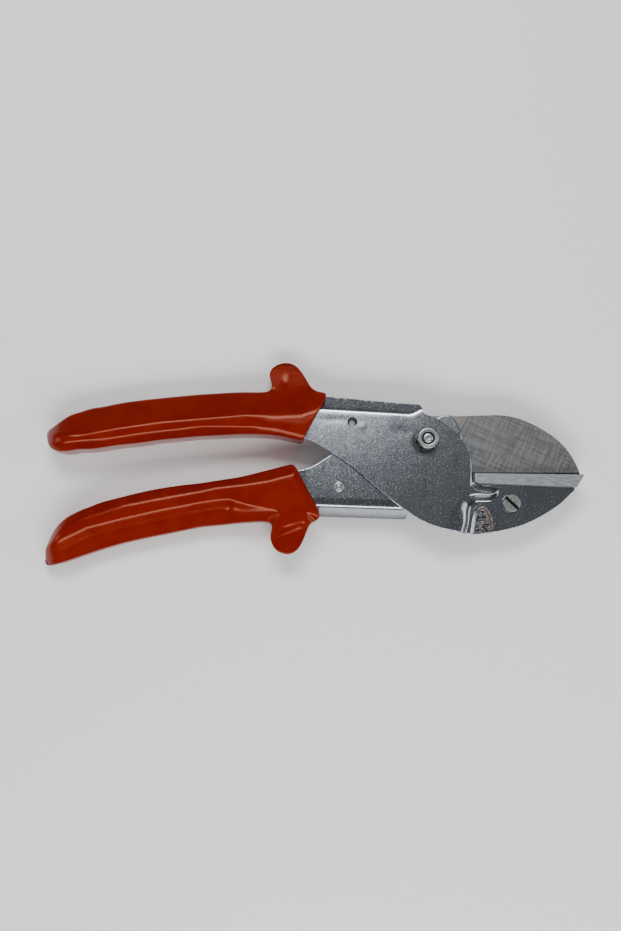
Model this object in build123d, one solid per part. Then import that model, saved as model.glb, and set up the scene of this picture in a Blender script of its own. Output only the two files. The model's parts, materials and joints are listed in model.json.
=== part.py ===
from build123d import *
import math
import os

# Anvil pruner, lying closed on its back. +X points to the blade tip, +Y from the lower grip to the
# upper grip, +Z away from the surface it lies on. Every shape is drawn about the pivot axis, with
# Z = 0 in the middle of the blade's thickness, and moved once by PIVOT, which puts the origin under
# the middle of the closed pruner. Millimetres.

PIVOT = (43.1, 8.4, 8.7)

# stack of sheets along the pivot, from the back to the front
SHEET = 2.0
BLADE_T = 3.0
BLADE_BACK = -BLADE_T / 2
LOWER_BACK = BLADE_T / 2
LOWER_FRONT = LOWER_BACK + SHEET
SLIDE_GAP = 0.1
UPPER_BACK = LOWER_FRONT + SLIDE_GAP
UPPER_FRONT = UPPER_BACK + SHEET
JAW_FRONT = 2.5
JAW_BACK = JAW_FRONT - SHEET

# pivot fasteners
BOLT_R = 2.5
BUSH_R = 4.0
BUSH_BACK = -5.4
RUN_CLEARANCE = 0.05
WASHER_R = 7.0
WASHER_T = 1.0
WAVE_T = 0.4
BOLT_HEAD_R = 5.0
BOLT_HEAD_H = 1.9
NUT_AF = 8.0
NUT_H = 4.0
BOLT_PROUD = 0.3
SLOT_W = 1.2

# folded edges of the two handles
BEND_R = 3.5
UPPER_BEND = 60.0
LOWER_BEND = 65.0
UPPER_FLANGE = 8.6
LOWER_FLANGE = 5.3

# upper plate
DISC_X = -6.5
DISC_Y = -13.6
DISC_R = 24.4
HOLE_X = -29.4
HOLE_Y = 6.6
HOLE_R = 1.7
POCKET_X = 22.2
POCKET_Y = -30.2
POCKET_R = 4.0
POCKET_DEPTH = 0.7

# lower plate
HEAD_R = 14.4
HEAD_TOP = 9.8

# blade
BLADE_HUB_R = 10.2
EDGE_Y = -13.05
EDGE_T = 0.12
GRIND_TOP_T = 2.5
BLADE_SCREWS = ((-9.5, -8.5), (-1.5, -14.0))
BLADE_SCREW_R = 1.5
BLADE_NUT_AF = 5.5
BLADE_NUT_H = 2.4

# anvil, its tongue and its screw
ANVIL_HALF = 3.0
TONGUE_T = 2.6
SCREW_X = 33.4
SCREW_Y = -25.1
SCREW_R = 2.0
SCREW_HEAD_R = 3.5
SCREW_HEAD_H = 2.6
SPLIT_T = 0.9
SCREW_NUT_AF = 7.0
SCREW_NUT_H = 2.4
SCREW_TURN = -43.0

# latch and its rivet
RIVET_X = -34.7
RIVET_Y = -18.7
RIVET_R = 1.5
LATCH_T = 1.2
LATCH_FRONT = LOWER_BACK - 0.3
LATCH_BACK = LATCH_FRONT - LATCH_T
LATCH_HALF = 3.4
LATCH_TIP_HALF = 2.3
NUB_R = 1.3
NUB_GAP = 0.5
THUMB_TAB_L = 7.0
THUMB_TAB_H = 5.5

# opening spring
WIRE_R = 0.6
COIL_R = 5.6

# grips
GRIP_BACK = -8.7
UPPER_GRIP_FRONT = 7.4
LOWER_GRIP_FRONT = 5.4
STOP_FRONT = 5.5
STOP_BACK = -5.5
GRIP_ROUND = 0.55
CAVITY_CORNER = 0.3
CAVITY_BACK = -5.2


def block(outline, low, high):
    """Straight prism of a closed outline between two heights."""
    face = make_face(outline)
    return Pos(0, 0, low) * extrude(face, high - low, dir=(0, 0, 1))


def disc(radius, low, high, x=0.0, y=0.0):
    return Pos(x, y, (low + high) / 2) * Cylinder(radius, high - low)


def slot(width, depth, top, x=0.0, y=0.0, turn=0.0):
    """Screwdriver slot to cut out of a head whose face is at the height top."""
    return Pos(x, y, top) * Rot(0, 0, turn) * Box(20, width, 2 * depth)


def folded_edge(path, outward, front, bend, flange):
    """Strip of sheet that follows the fold line, bends away from the front and ends in a flange."""
    plane = Plane(origin=path @ 0, x_dir=outward, z_dir=path % 0)
    up = plane.y_dir.Z
    centre = front - BEND_R
    inner = BEND_R - SHEET
    lap = 1.0
    turn = math.radians(bend)

    def on_arc(radius, angle):
        return (radius * math.sin(angle), up * (centre + radius * math.cos(angle)))

    def past_bend(radius):
        u, v = on_arc(radius, turn)
        return (u + flange * math.cos(turn), v - up * flange * math.sin(turn))

    outline = Polyline((-lap, up * (front - SHEET)), (-lap, up * front), (0, up * front))
    outline += ThreePointArc((0, up * front), on_arc(BEND_R, turn / 2), on_arc(BEND_R, turn))
    outline += Polyline(on_arc(BEND_R, turn), past_bend(BEND_R), past_bend(inner), on_arc(inner, turn))
    outline += ThreePointArc(on_arc(inner, turn), on_arc(inner, turn / 2), (0, up * (front - SHEET)))
    outline += Line((0, up * (front - SHEET)), (-lap, up * (front - SHEET)))
    return sweep(plane * make_face(outline), path=path)


def upper_fold():
    """Fold line of the upper handle, from beside the pivot to the end of its grip."""
    straight = Line((-1.3, 8.4), (-41.0, 10.45))
    return straight + TangentArc(straight @ 1, (-135.5, 2.8), tangent=straight % 1)


def lower_fold():
    straight = Line((-7.2, -26.1), (-43.0, -24.93))
    return straight + TangentArc(straight @ 1, (-136.5, -39.1), tangent=straight % 1)


def step_block(low, high):
    """Block whose right side slopes down to the jaw, with the stiffening nose beside the anvil."""
    far = 170.0
    top = [(17.6, far), (17.6, -16.5), (18.4, -19.9), (24.9, -21.1), (25.7, -21.6), (25.0, -22.0),
           (17.8, -21.9), (14.9, -24.2), (12.6, -28.5), (11.8, -far), (-far, -far), (-far, far)]
    foot = [(20.6, far), (20.6, -16.6), (22.0, -17.8), (27.5, -18.1), (29.3, -20.2), (26.0, -24.3),
            (19.0, -24.4), (17.3, -26.5), (17.0, -29.5), (17.0, -far), (-far, -far), (-far, far)]
    top_face = Pos(0, 0, high) * make_face(Polyline(*top, close=True))
    foot_face = Pos(0, 0, low) * make_face(Polyline(*foot, close=True))
    return loft([foot_face, top_face], ruled=True)


def stepped_sheet():
    """Endless sheet that lies at the front level on the left and at the jaw level on the right."""
    depth = 20.0
    slab = Pos(0, 0, JAW_FRONT) * Box(400, 400, depth, align=(Align.CENTER, Align.CENTER, Align.MAX))
    solid = slab + step_block(JAW_FRONT, UPPER_FRONT)
    return solid - Pos(0, 0, -SHEET) * solid


def upper_outline():
    fold = upper_fold()
    fold_start = fold @ 0
    disc_y = DISC_Y + math.sqrt(DISC_R**2 - (fold_start.X - DISC_X) ** 2)
    neck = (17.7, DISC_Y + math.sqrt(DISC_R**2 - (17.7 - DISC_X) ** 2))
    over = (DISC_X + DISC_R * math.cos(math.radians(45)), DISC_Y + DISC_R * math.sin(math.radians(45)))
    jaw_tip = (60.0, anvil_under(60.0))
    edge = fold
    edge += Line(fold_start, (fold_start.X, disc_y))
    edge += ThreePointArc((fold_start.X, disc_y), over, neck)
    edge += Polyline(neck, (17.6, anvil_under(17.6)), jaw_tip)
    edge += Spline(jaw_tip, (53.1, -25.3), (45.0, -30.4), (37.0, -34.0), (29.0, -36.0), (20.4, -36.9),
                   (12.5, -36.5), (4.7, -34.9), (-3.1, -31.8), (-12.0, -25.75))
    edge += Line((-12.0, -25.75), (-30.4, -10.1))
    edge += Spline((-30.4, -10.1), (-37.1, -5.6), (-48.0, 0.3), (-66.0, 2.9), (-90.0, 2.1),
                   (-115.0, -0.7), (-134.0, -2.9))
    edge += ThreePointArc((-134.0, -2.9), (-136.7, -0.3), (-135.5, 2.8))
    return edge


def anvil_top(x):
    return -13.15 - 0.008 * (x - 19.3)


def anvil_under(x):
    """Height of the line where the anvil bar sits on the jaw's edge."""
    return -17.0 - 0.038 * (x - 19.3)


def pressed_pocket(radius, low, high):
    """Round-ended pocket that runs out through the jaw's lower edge."""
    run = Pos(POCKET_X, POCKET_Y - 10, (low + high) / 2) * Box(2 * radius, 20, high - low)
    return disc(radius, low, high, POCKET_X, POCKET_Y) + run


def upper_handle():
    outline = block(upper_outline(), -20, 20)
    plate = stepped_sheet() & outline
    plate += folded_edge(upper_fold(), (0, 1, 0), UPPER_FRONT, UPPER_BEND, UPPER_FLANGE)
    spill = 6.0
    trim = make_face(Polyline((-44, 18.4), (4, 14.0), (4, 14.0 + spill), (-44, 18.4 + spill), close=True))
    plate -= Pos(0, 0, -20) * extrude(trim, 40)
    bump = pressed_pocket(POCKET_R - 0.8, JAW_BACK - POCKET_DEPTH, JAW_FRONT - POCKET_DEPTH)
    plate += bump & outline
    plate -= pressed_pocket(POCKET_R, JAW_FRONT - POCKET_DEPTH, JAW_FRONT + 1)
    plate -= disc(BOLT_R, UPPER_BACK - 1, UPPER_FRONT + 1)
    plate -= disc(HOLE_R, UPPER_BACK - 1, UPPER_FRONT + 1, HOLE_X, HOLE_Y)
    plate -= disc(SCREW_R, JAW_BACK - 1, JAW_FRONT + 1, SCREW_X, SCREW_Y)
    return plate


def lower_outline():
    fold = lower_fold()
    fold_start = fold @ 0
    low_side = (HEAD_R * math.cos(math.radians(-50)), HEAD_R * math.sin(math.radians(-50)))
    shoulder = (math.sqrt(HEAD_R**2 - HEAD_TOP**2), HEAD_TOP)
    edge = fold
    edge += Spline(fold_start, (0.0, -18.5), low_side)
    edge += ThreePointArc(low_side, (HEAD_R, 0), shoulder)
    edge += Polyline(shoulder, (5.6, HEAD_TOP), (4.9, 8.9), (-2.0, 8.1))
    edge += Spline((-2.0, 8.1), (-12.0, 7.0), (-24.0, 2.2), (-37.0, -5.4), (-46.2, -10.9),
                   (-52.0, -12.3), (-73.6, -16.6), (-89.0, -19.1), (-105.0, -21.6), (-120.0, -25.3),
                   (-131.0, -29.2))
    edge += ThreePointArc((-131.0, -29.2), (-137.0, -34.0), (-136.5, -39.1))
    return edge


def lower_handle():
    plate = block(lower_outline(), LOWER_BACK, LOWER_FRONT)
    plate += folded_edge(lower_fold(), (0, -1, 0), LOWER_FRONT, LOWER_BEND, LOWER_FLANGE)
    plate -= disc(BUSH_R + RUN_CLEARANCE, -9, 9)
    plate -= disc(RIVET_R, -9, 9, RIVET_X, RIVET_Y)
    for x, y in BLADE_SCREWS:
        plate -= countersunk(x, y)
    return plate


def countersunk(x, y):
    """Countersunk screw body, also used as the hole that it fills."""
    head = Pos(x, y, LOWER_FRONT) * Cone(
        BLADE_SCREW_R, 2 * BLADE_SCREW_R, BLADE_SCREW_R, align=(Align.CENTER, Align.CENTER, Align.MAX))
    return head + disc(BLADE_SCREW_R, BLADE_BACK - BLADE_NUT_H, LOWER_FRONT - 0.5, x, y)


def blade_outline():
    hub_high = (BLADE_HUB_R * math.cos(math.radians(75)), BLADE_HUB_R * math.sin(math.radians(75)))
    hub_low = (BLADE_HUB_R * math.cos(math.radians(194)), BLADE_HUB_R * math.sin(math.radians(194)))
    edge = Polyline(hub_high, (13.3, 9.9), (27.0, 10.4))
    edge += Spline((27.0, 10.4), (38.2, 8.9), (46.2, 5.3), (54.2, -0.3), (60.0, -7.9), (62.1, -12.9))
    edge += Polyline((62.1, -12.9), (61.9, anvil_top(61.9) + 0.08), (17.0, anvil_top(17.0) + 0.08),
                     (14.0, -13.4), (4.0, -18.0))
    edge += Spline((4.0, -18.0), (-2.5, -18.6), (-12.0, -13.2), (-13.4, -7.0), hub_low)
    edge += ThreePointArc(hub_low, (-BLADE_HUB_R * math.cos(math.radians(45)),
                                    BLADE_HUB_R * math.sin(math.radians(45))), hub_high)
    return edge


def grind_cut():
    """Wedge that the ground face leaves in front of the blade, right of the grinding line."""
    reach = 90.0
    high = 12.0
    low = -16.0
    slope = (GRIND_TOP_T - EDGE_T) / 2 / (high - EDGE_Y)
    side = make_face(Polyline((high, GRIND_TOP_T / 2), (high, 4.0), (low, 4.0),
                              (low, EDGE_T / 2 + slope * (low - EDGE_Y)), close=True))
    wedge = Plane(origin=(0, 0, 0), x_dir=(0, 1, 0), z_dir=(1, 0, 0)) * extrude(side, reach)
    ground = make_face(Polyline((18.6, 12.0), (5.0, -12.0), (5.0, -16.0), (80.0, -16.0), (80.0, 12.0),
                                close=True))
    return wedge & (Pos(0, 0, -1) * extrude(ground, 8))


def blade():
    body = block(blade_outline(), BLADE_BACK, LOWER_BACK)
    body -= grind_cut()
    body -= mirror(grind_cut(), about=Plane.XY)
    body -= disc(BUSH_R + RUN_CLEARANCE, -9, 9)
    for x, y in BLADE_SCREWS:
        body -= disc(BLADE_SCREW_R, -9, 9, x, y)
    return body


def blade_screws():
    slots = [slot(0.8, 0.6, LOWER_FRONT, x, y, 30 * n) for n, (x, y) in enumerate(BLADE_SCREWS)]
    return [countersunk(x, y) - cut for (x, y), cut in zip(BLADE_SCREWS, slots)]


def blade_nuts():
    low = BLADE_BACK - BLADE_NUT_H
    nuts = []
    for n, (x, y) in enumerate(BLADE_SCREWS):
        hexagon = RegularPolygon(BLADE_NUT_AF / 2, 6, major_radius=False, rotation=20 * n)
        body = Pos(x, y, low) * extrude(hexagon, BLADE_NUT_H)
        nuts.append(body - disc(BLADE_SCREW_R, low - 1, BLADE_BACK + 1, x, y))
    return nuts


def anvil():
    top_left = (19.3, anvil_top(19.3))
    top_right = (63.2, anvil_top(63.2))
    bottom_right = (59.9, anvil_under(59.9))
    bottom_left = (20.4, anvil_under(20.4))
    bar = block(Polyline(top_left, top_right, bottom_right, bottom_left, (19.3, -16.3), close=True),
                -ANVIL_HALF, ANVIL_HALF)
    inside = anvil_under(26.0) + 1.5
    tongue = make_face(Polyline((26.0, inside), (26.0, -27.0), (29.0, -30.5), (38.0, -30.5), (41.0, -27.0),
                                (41.0, inside), close=True))
    body = bar + Pos(0, 0, JAW_BACK - TONGUE_T) * extrude(tongue, TONGUE_T)
    return body - disc(SCREW_R, -9, 9, SCREW_X, SCREW_Y)


def anvil_screw():
    end = JAW_BACK - TONGUE_T - SPLIT_T - SCREW_NUT_H - BOLT_PROUD
    screw = disc(SCREW_R, end, JAW_FRONT + 0.5, SCREW_X, SCREW_Y)
    head = disc(SCREW_HEAD_R, JAW_FRONT, JAW_FRONT + SCREW_HEAD_H, SCREW_X, SCREW_Y)
    head = chamfer(head.edges().group_by(Axis.Z)[-1], 0.35)
    return screw + head - slot(SLOT_W, 1.3, JAW_FRONT + SCREW_HEAD_H, SCREW_X, SCREW_Y, SCREW_TURN)


def split_ring(inner, outer, low, high, x, y):
    ring = disc(outer, low, high, x, y) - disc(inner, low - 1, high + 1, x, y)
    gap = Pos(x + outer, y, (low + high) / 2) * Rot(25, 0, 0) * Box(2 * outer, 0.6, 4 * (high - low))
    return ring - gap


def anvil_lock_washer():
    high = JAW_BACK - TONGUE_T
    return split_ring(SCREW_R + 0.1, 3.4, high - SPLIT_T, high, SCREW_X, SCREW_Y)


def anvil_nut():
    high = JAW_BACK - TONGUE_T - SPLIT_T
    hexagon = RegularPolygon(SCREW_NUT_AF / 2, 6, major_radius=False)
    body = Pos(SCREW_X, SCREW_Y, high - SCREW_NUT_H) * extrude(hexagon, SCREW_NUT_H)
    return body - disc(SCREW_R, -20, 20, SCREW_X, SCREW_Y)


def pivot_bolt():
    seat = BUSH_BACK - WASHER_T - WAVE_T
    shank = disc(BOLT_R, seat - 0.5, UPPER_FRONT + NUT_H + BOLT_PROUD)
    shank = chamfer(shank.edges().group_by(Axis.Z)[-1], 0.3)
    head = disc(BOLT_HEAD_R, seat - BOLT_HEAD_H, seat)
    head = fillet(head.edges().group_by(Axis.Z)[0], 1.0)
    cut = slot(SLOT_W, 1.0, seat - BOLT_HEAD_H, 0, 0, 15)
    return shank + head - cut


def pivot_bush():
    return disc(BUSH_R, BUSH_BACK, UPPER_BACK) - disc(BOLT_R, -20, 20)


def pivot_washer():
    return disc(WASHER_R, BUSH_BACK - WASHER_T, BUSH_BACK) - disc(BOLT_R + 0.2, -20, 20)


def pivot_spring_washer():
    high = BUSH_BACK - WASHER_T
    return disc(4.6, high - WAVE_T, high) - disc(BOLT_R + 0.2, -20, 20)


def pivot_nut():
    low = UPPER_FRONT
    body = Pos(0, 0, low) * extrude(
        RegularPolygon(NUT_AF / 2, 6, major_radius=False, rotation=8), NUT_H)
    cone = Pos(0, 0, low) * Cone(NUT_AF / 2 + NUT_H * 2.0 - 0.1, NUT_AF / 2 - 0.1, NUT_H,
                                 align=(Align.CENTER, Align.CENTER, Align.MIN))
    body = body & cone
    return body - disc(BOLT_R, -20, 20)


def toward(x, y, angle, distance, side=0.0):
    """Point at a distance along an angle from (x, y), stepped to the left by side."""
    turn = math.radians(angle)
    return (x + distance * math.cos(turn) - side * math.sin(turn),
            y + distance * math.sin(turn) + side * math.cos(turn))


def latch():
    aim = math.degrees(math.atan2(HOLE_Y - RIVET_Y, HOLE_X - RIVET_X))
    reach = math.hypot(HOLE_X - RIVET_X, HOLE_Y - RIVET_Y)
    lever = make_face(Polyline(
        toward(RIVET_X, RIVET_Y, aim, 0, LATCH_HALF), toward(RIVET_X, RIVET_Y, aim, reach, LATCH_TIP_HALF),
        toward(RIVET_X, RIVET_Y, aim, reach, -LATCH_TIP_HALF), toward(RIVET_X, RIVET_Y, aim, 0, -LATCH_HALF),
        close=True))
    body = Pos(0, 0, LATCH_BACK) * extrude(lever, LATCH_T)
    body += disc(LATCH_HALF, LATCH_BACK, LATCH_FRONT, RIVET_X, RIVET_Y)
    body += disc(LATCH_TIP_HALF, LATCH_BACK, LATCH_FRONT, HOLE_X, HOLE_Y)
    body += disc(NUB_R, LATCH_BACK, UPPER_BACK - NUB_GAP, HOLE_X, HOLE_Y)
    tab_x, tab_y = toward(RIVET_X, RIVET_Y, aim, 12.0, 2.4)
    body += Pos(tab_x, tab_y, LATCH_FRONT) * Rot(0, 0, aim) * Box(
        THUMB_TAB_L, LATCH_T, THUMB_TAB_H + LATCH_T, align=(Align.CENTER, Align.CENTER, Align.MAX))
    return body - disc(RIVET_R + RUN_CLEARANCE, -9, 9, RIVET_X, RIVET_Y)


def latch_rivet():
    back = LATCH_BACK - WAVE_T
    shank = disc(RIVET_R, back, LOWER_FRONT, RIVET_X, RIVET_Y)
    head = disc(2.8, back - 0.9, back, RIVET_X, RIVET_Y)
    head = fillet(head.edges().group_by(Axis.Z)[0], 0.5)
    peen = disc(1.9, LOWER_FRONT, LOWER_FRONT + 0.6, RIVET_X, RIVET_Y)
    peen = fillet(peen.edges().group_by(Axis.Z)[-1], 0.35)
    return shank + head + peen


def latch_washer():
    return (disc(3.0, LATCH_BACK - WAVE_T, LATCH_BACK, RIVET_X, RIVET_Y)
            - disc(RIVET_R + 0.1, -9, 9, RIVET_X, RIVET_Y))


def opening_spring():
    """Wire torsion spring: a coil round the bush and two legs against the handles' flanges."""
    upper_tip = Vector(-26.0, 12.6, -2.4)
    lower_tip = Vector(-24.0, -26.7, -2.4)
    coil_high = BLADE_BACK - WIRE_R - 0.3
    leave = math.degrees(math.atan2(upper_tip.Y, upper_tip.X)
                         - math.acos(COIL_R / math.hypot(upper_tip.X, upper_tip.Y)))
    arrive = math.degrees(math.atan2(lower_tip.Y, lower_tip.X)
                          + math.acos(COIL_R / math.hypot(lower_tip.X, lower_tip.Y)))
    turns = (leave - arrive) / 360 + 1
    pitch = 2 * WIRE_R + 0.15
    helix = Helix(pitch, pitch * turns, COIL_R, lefthand=True)
    coil = Pos(0, 0, coil_high - pitch * turns) * Rot(0, 0, leave) * helix
    wire = Wire([Line(upper_tip, coil @ 0).edge(), coil.edge(), Line(coil @ 1, lower_tip).edge()])
    round_wire = Plane(origin=upper_tip, z_dir=wire % 0) * Circle(WIRE_R)
    return sweep(round_wire, path=wire, transition=Transition.TRANSFORMED)


def section(x, top, bottom, low, high, corner):
    """Rounded cross-section of a grip at x, between its top and bottom edges and two heights."""
    plane = Plane(origin=(x, (top + bottom) / 2, (low + high) / 2), x_dir=(0, 1, 0), z_dir=(1, 0, 0))
    return plane * RectangleRounded(top - bottom, high - low, corner)


def sleeve(stations, front):
    """Outer body of a grip from stations of (x, top, bottom, share of the full depth)."""
    middle = (front + GRIP_BACK) / 2
    half = (front - GRIP_BACK) / 2
    sections = []
    for x, top, bottom, share in stations:
        corner = min(half * share, (top - bottom) / 2) * GRIP_ROUND
        sections.append(section(x, top, bottom, middle - half * share, middle + half * share, corner))
    return loft(sections, ruled=True)


def hollow(stations, front, bottom_in, top_in):
    """Space inside a grip for the folded steel, open at the end of the grip."""
    return loft([section(x, top - top_in, bottom + bottom_in, CAVITY_BACK, front, CAVITY_CORNER)
                 for x, top, bottom in stations], ruled=True)


def finger_stop(stations):
    """Hooked stop on a grip: rounded sections at (y, left, right, share of the full depth)."""
    sections = []
    for y, left, right, share in stations:
        plane = Plane(origin=((left + right) / 2, y, (STOP_FRONT + STOP_BACK) / 2), x_dir=(1, 0, 0),
                      z_dir=(0, 1, 0))
        half = (STOP_FRONT - STOP_BACK) / 2 * share
        corner = min(half, (right - left) / 2) * 0.8
        sections.append(plane * RectangleRounded(right - left, 2 * half, corner))
    return loft(sections, ruled=True)


def cut_end(body, line, away):
    """Cut off what is beyond the slanting end of a grip."""
    beyond = make_face(Polyline(*line, *away, close=True))
    return body - Pos(0, 0, -20) * extrude(beyond, 40)


def upper_grip():
    stations = [(-149.4, 2.2, -0.8, 0.3), (-148.6, 3.4, -2.6, 0.55), (-147.0, 4.9, -4.2, 0.8),
                (-144.0, 7.2, -5.2, 0.95), (-137.0, 11.1, -5.3, 1), (-128.0, 13.2, -4.7, 1),
                (-116.0, 15.6, -3.1, 1), (-105.0, 17.0, -1.7, 1), (-94.0, 18.1, -0.3, 1),
                (-82.0, 19.1, 0.5, 1), (-70.0, 19.5, 1.0, 1), (-58.0, 19.5, 0.5, 1), (-38.0, 17.4, -2.4, 1)]
    body = sleeve(stations, UPPER_GRIP_FRONT)
    body = cut_end(body, [(-50.4, -4.4), (-38.0, 21.5)], [(-20.0, 21.5), (-20.0, -4.4)])
    body += finger_stop([(13.0, -61.0, -45.0, 1), (21.0, -61.2, -45.6, 1), (24.5, -61.5, -47.2, 1),
                         (28.0, -62.0, -48.8, 0.95), (30.6, -60.4, -50.4, 0.75), (32.1, -57.8, -53.2, 0.4)])
    inside = [(-144.0, 6.2, -5.2), (-137.0, 11.1, -5.3), (-128.0, 13.2, -4.7), (-116.0, 15.6, -3.1),
              (-105.0, 17.0, -1.7), (-94.0, 18.1, -0.3), (-82.0, 19.1, 0.5), (-70.0, 19.5, 1.0),
              (-58.0, 19.5, 0.5), (-30.0, 19.6, -8.0)]
    return body - hollow(inside, UPPER_FRONT + 0.05, 1.6, 0.9)


def lower_grip():
    stations = [(-148.5, -43.0, -46.6, 0.3), (-148.0, -41.0, -48.0, 0.55), (-146.4, -37.4, -48.9, 0.8),
                (-143.0, -32.4, -48.3, 0.95), (-136.0, -27.8, -46.2, 1), (-128.0, -24.5, -43.8, 1),
                (-116.0, -21.5, -40.4, 1), (-105.0, -19.1, -38.0, 1), (-94.0, -17.6, -35.7, 1),
                (-82.0, -15.9, -34.1, 1), (-70.0, -13.7, -33.0, 1), (-58.0, -10.6, -32.6, 1),
                (-40.0, -7.6, -32.0, 1)]
    body = sleeve(stations, LOWER_GRIP_FRONT)
    body = cut_end(body, [(-54.2, -4.7), (-40.2, -36.0)], [(-20.0, -36.0), (-20.0, -4.7)])
    body += finger_stop([(-27.0, -60.0, -45.6, 1), (-34.5, -60.6, -46.4, 1), (-39.0, -61.4, -48.4, 1),
                         (-42.0, -60.6, -50.0, 0.8), (-44.0, -58.6, -51.4, 0.6), (-45.1, -56.4, -52.8, 0.4)])
    inside = [(-144.0, -35.4, -47.0), (-136.0, -27.8, -46.2), (-128.0, -24.5, -43.8), (-116.0, -21.5, -40.4),
              (-105.0, -19.1, -38.0), (-94.0, -17.6, -35.7), (-82.0, -15.9, -34.1), (-70.0, -13.7, -33.0),
              (-58.0, -10.6, -32.6), (-30.0, -4.0, -32.0)]
    return body - hollow(inside, LOWER_FRONT + 0.05, 1.1, 1.4)


def write(name, shape):
    """Move the finished node to its place over the origin and write it."""
    solids = shape if isinstance(shape, list) else shape.solids()
    placed = [Pos(*PIVOT) * solid for solid in solids]
    node = placed[0] if len(placed) == 1 else Compound(children=placed)
    export_step(node, f"parts/{name}.step")


def main():
    os.makedirs("parts", exist_ok=True)
    nodes = {
        "upper_handle": upper_handle(),
        "lower_handle": lower_handle(),
        "upper_grip": upper_grip(),
        "lower_grip": lower_grip(),
        "blade": blade(),
        "blade_screws": blade_screws(),
        "blade_nuts": blade_nuts(),
        "anvil": anvil(),
        "anvil_screw": anvil_screw(),
        "anvil_lock_washer": anvil_lock_washer(),
        "anvil_nut": anvil_nut(),
        "pivot_bolt": pivot_bolt(),
        "pivot_bush": pivot_bush(),
        "pivot_washer": pivot_washer(),
        "pivot_spring_washer": pivot_spring_washer(),
        "pivot_nut": pivot_nut(),
        "latch": latch(),
        "latch_rivet": latch_rivet(),
        "latch_washer": latch_washer(),
        "opening_spring": opening_spring(),
    }
    for name, shape in nodes.items():
        write(name, shape)


main()
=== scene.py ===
import json
import math
import bpy
import numpy as np
from mathutils import Matrix, Vector
from mathutils.geometry import delaunay_2d_cdt


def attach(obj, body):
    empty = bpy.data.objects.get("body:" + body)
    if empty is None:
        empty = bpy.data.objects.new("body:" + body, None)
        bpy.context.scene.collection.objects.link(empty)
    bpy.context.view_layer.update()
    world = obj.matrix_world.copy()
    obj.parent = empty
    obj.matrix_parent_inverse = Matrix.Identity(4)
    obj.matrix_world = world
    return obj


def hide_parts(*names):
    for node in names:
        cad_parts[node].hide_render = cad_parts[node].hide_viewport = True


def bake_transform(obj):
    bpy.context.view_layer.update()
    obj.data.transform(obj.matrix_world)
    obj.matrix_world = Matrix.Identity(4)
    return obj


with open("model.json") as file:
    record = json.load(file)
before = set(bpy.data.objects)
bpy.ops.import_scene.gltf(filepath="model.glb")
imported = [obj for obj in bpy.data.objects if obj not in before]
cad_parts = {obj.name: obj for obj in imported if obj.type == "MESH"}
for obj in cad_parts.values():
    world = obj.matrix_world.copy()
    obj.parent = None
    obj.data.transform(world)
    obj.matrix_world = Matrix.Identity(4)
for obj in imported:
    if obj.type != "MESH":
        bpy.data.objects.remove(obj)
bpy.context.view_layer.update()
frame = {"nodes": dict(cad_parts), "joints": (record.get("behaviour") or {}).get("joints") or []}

# Shapes are drawn in millimetres about the pivot axis, with Z = 0 in the middle of the blade, as in
# the CAD source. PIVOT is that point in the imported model, in metres.
MM = 0.001
JOINTS = {joint["name"]: joint for joint in frame["joints"]}
PIVOT = np.array(JOINTS["handle_pivot"]["pos_m"])
UPPER = "upper_arm"
LOWER = "lower_arm"

# The pressed handles: the sheet's thickness, the height of each front face, and the folds with the
# widths of the flanges past them. The angle of the upper fold and the radius of the lower one are not
# those of the CAD. They follow the tones of the flanges in the photograph.
SHEET = 2.0
UPPER_FRONT = 5.6
LOWER_FRONT = 3.5
JAW_FRONT = 2.5
UPPER_BEND = math.radians(38)
UPPER_BEND_R = 3.5
UPPER_FLANGE = 7.3
LOWER_BEND = math.radians(65)
LOWER_BEND_R = 2.4
LOWER_FLANGE = 5.35
DISC = (-6.5, -13.6)
DISC_R = 24.4
HEAD_R = 14.4
BORE_R = 4.05
CATCH_HOLE = (-29.4, 6.6)
CATCH_HOLE_R = 1.7
ANVIL_LEFT = 19.3
GRIP_SINK = 0.4
BULGE_DROP = 0.8
STEP_DROP = UPPER_FRONT - JAW_FRONT - BULGE_DROP
POCKET_DEPTH = 0.8
POCKET_WALL = 1.9
BACK_ROUND = 0.25

# the grips: their flat front faces, their back and the rounding of their rims
UPPER_FACE = 7.3
LOWER_FACE = 5.2
GRIP_BACK = -8.7
GRIP_ROUND = 0.6
GRIP_BACK_ROUND = 0.8
GRIP_END_LENGTH = 13.0
GRIP_END_DROP = 7.5

# the fasteners
NUT_ACROSS = 8.0
NUT_HEIGHT = 4.0
NUT_BORE = 2.25
NUT_TURN = 8
BOLT_SLOT_WIDTH = 1.2
BOLT_SLOT_DEPTH = 1.0
BOLT_SLOT_TURN = 15
RIVET = (-34.7, -18.7)
ANVIL_SCREW = (33.4, -25.1)

# between the rows of a hexagonal grid of points 1 apart
ROW = 0.866
# points of a loop that are nearer than this are one point
DOUBLED = 0.12
# how far the lines of the press work run past the plate, so that they divide it
FAR_LEFT = -200
FAR = 60


def place(point):
    """A point in millimetres about the pivot as a point of the scene."""
    return Vector(np.array(point, float) * MM + PIVOT)


# ---------------------------------------------------------------- plane curves

def segments(points, closed=True):
    pts = np.asarray(points, float)
    return (pts, np.roll(pts, -1, axis=0)) if closed else (pts[:-1], pts[1:])


def distance_to(x, y, points, closed=False):
    """Distance from every (x, y) to a polyline."""
    starts, ends = segments(points, closed)
    best = np.full(np.shape(x), 1e9)
    for (ax, ay), (bx, by) in zip(starts, ends):
        dx, dy = bx - ax, by - ay
        t = np.clip(((x - ax) * dx + (y - ay) * dy) / (dx * dx + dy * dy + 1e-12), 0, 1)
        best = np.minimum(best, np.hypot(x - ax - t * dx, y - ay - t * dy))
    return best


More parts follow.
